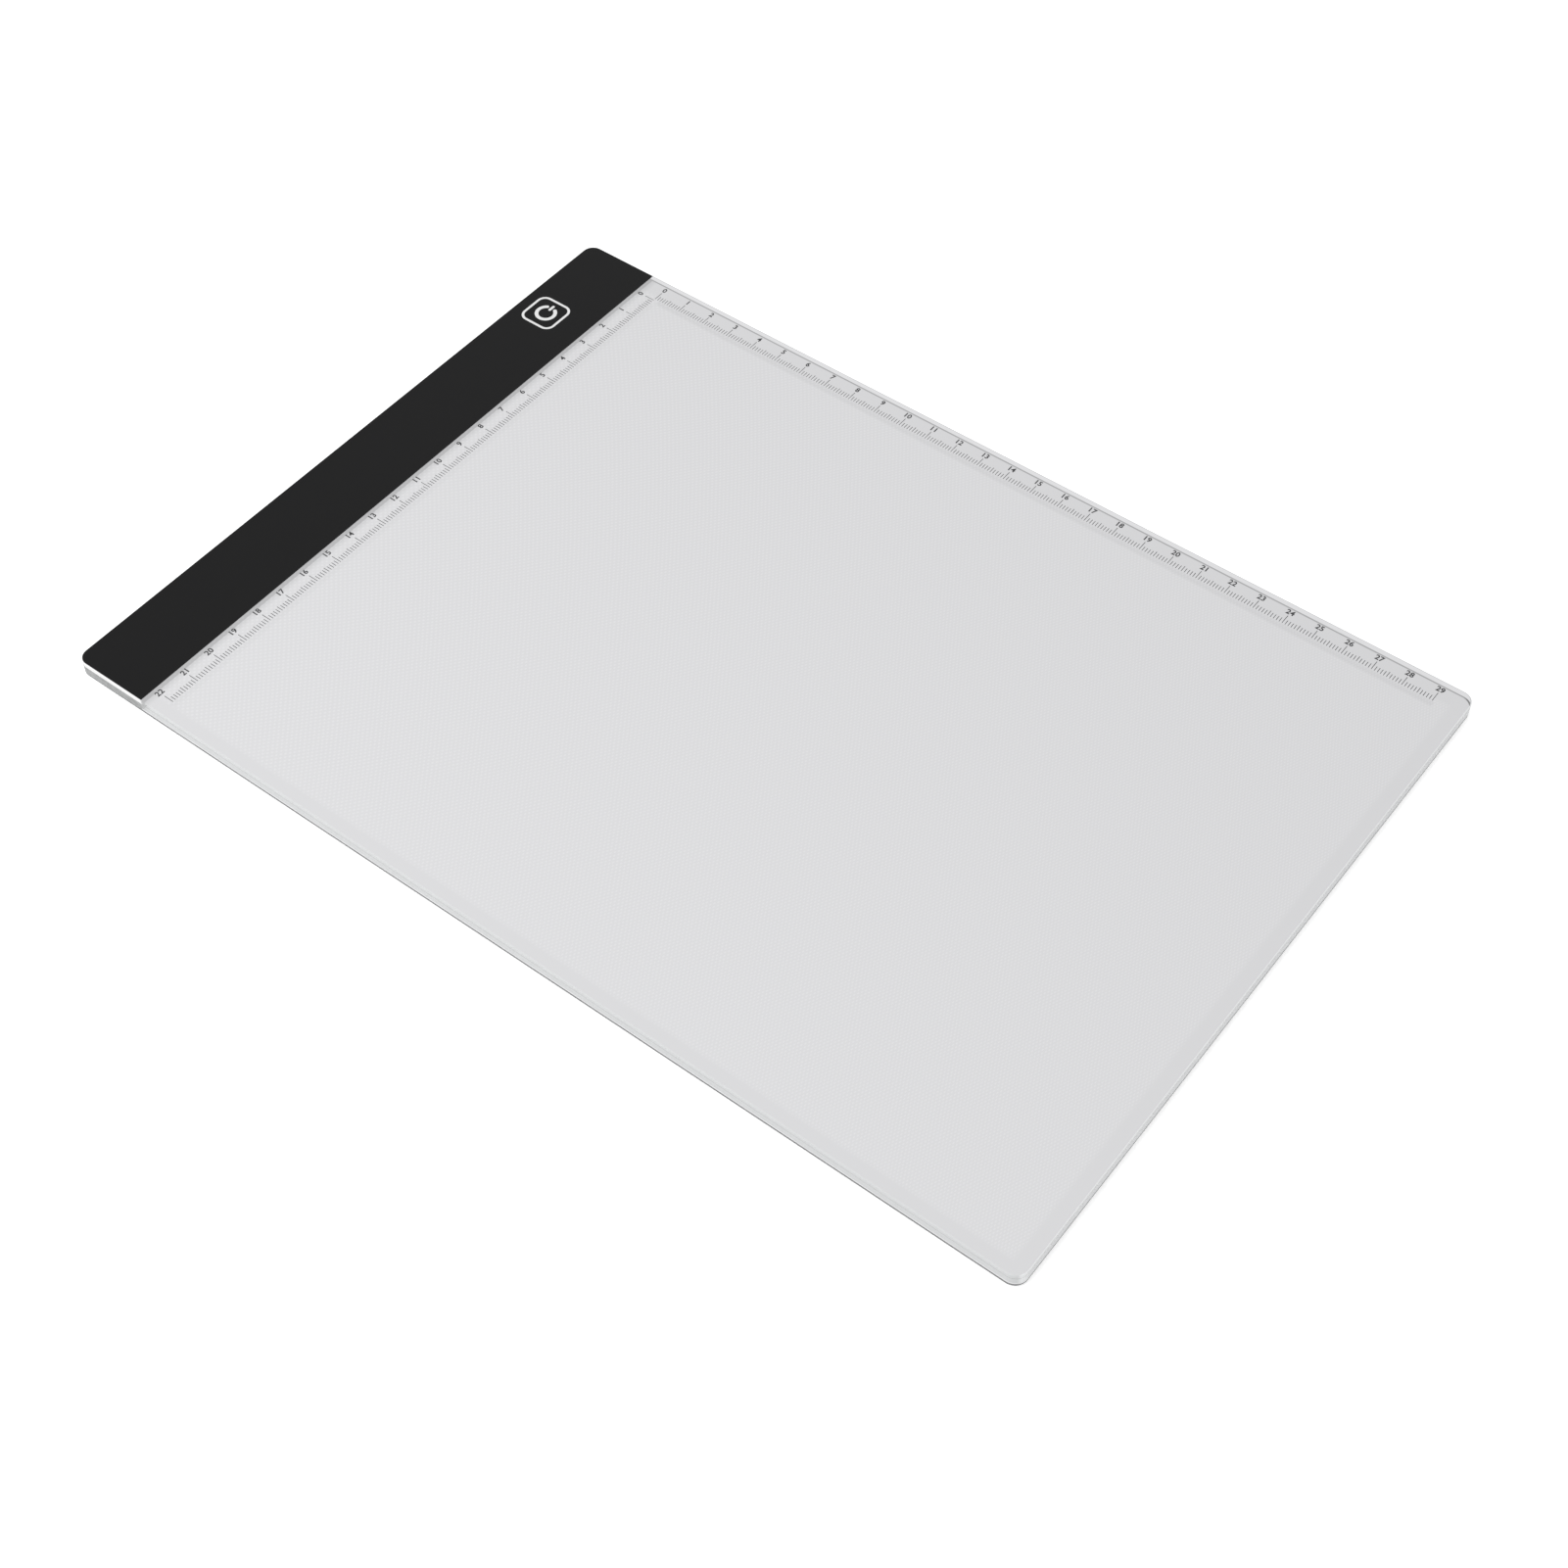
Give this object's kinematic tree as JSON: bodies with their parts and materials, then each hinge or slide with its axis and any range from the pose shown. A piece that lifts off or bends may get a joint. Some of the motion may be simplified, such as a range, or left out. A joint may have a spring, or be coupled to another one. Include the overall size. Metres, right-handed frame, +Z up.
{
  "type": "light box",
  "caption": "Thin edge-lit tracing pad: clear panel with a black touch-key band and two centimetre rulers.",
  "frame": {"origin": "middle of the panel's outline, on the plane that the anti-slip pads rest on", "axes": "+X along the long side, away from the black band; +Y across, to the long ruler's side; +Z up, out of the drawing surface"},
  "size_m": [0.335, 0.235, 0.006],
  "materials": {
    "clear_acrylic": "clear, fine matte top face",
    "guide_acrylic": "clear, polished edges, fine white dots on its underside",
    "frame_acrylic": "clear, routed edges",
    "black_band_ink": "satin screen print",
    "white_key_ink": "satin screen print",
    "ruler_ink": "satin screen print",
    "reflector_film": "matte white film",
    "clear_tape": "clear adhesive tape",
    "white_tape": "white foam tape",
    "back_sheet": "fine matte grain",
    "pad_rubber": "soft matte",
    "led_board_white": "white solder mask",
    "led_package_white": "moulded",
    "led_phosphor": "silicone gel",
    "control_board_green": "green solder mask",
    "socket_steel": "nickel plated",
    "black_plastic": "moulded",
    "contact_gold": "gold flash",
    "spring_steel": "plated wire",
    "tinned_metal": "tin",
    "capacitor_ceramic": "fired, matte",
    "resistor_ceramic": "glazed film",
    "red_insulation": "extruded",
    "black_insulation": "extruded"
  },
  "bodies": {
    "root": {"front_panel": "clear_acrylic", "strip_print": "black_band_ink", "power_key_print": "white_key_ink", "long_ruler_print": "ruler_ink", "short_ruler_print": "ruler_ink", "light_guide_plate": "guide_acrylic", "strip_frame": "frame_acrylic", "reflector_sheet": "reflector_film", "rim_tape": "clear_tape", "panel_tape": "clear_tape", "back_cover": "back_sheet", "anti_slip_pads": "pad_rubber", "led_board": "led_board_white", "led_board_tape": "white_tape", "led_packages": "led_package_white", "led_phosphors": "led_phosphor", "led_resistors": "resistor_ceramic", "control_board": "control_board_green", "control_board_tape": "white_tape", "usb_shell": "socket_steel", "usb_insulator": "black_plastic", "usb_contacts": "contact_gold", "touch_spring": "spring_steel", "touch_chip": "black_plastic", "led_transistor": "black_plastic", "chip_legs": "tinned_metal", "board_capacitors": "capacitor_ceramic", "board_resistors": "resistor_ceramic", "red_lead": "red_insulation", "black_lead": "black_insulation", "solder_joints": "tinned_metal"}
  },
  "joints": []
}
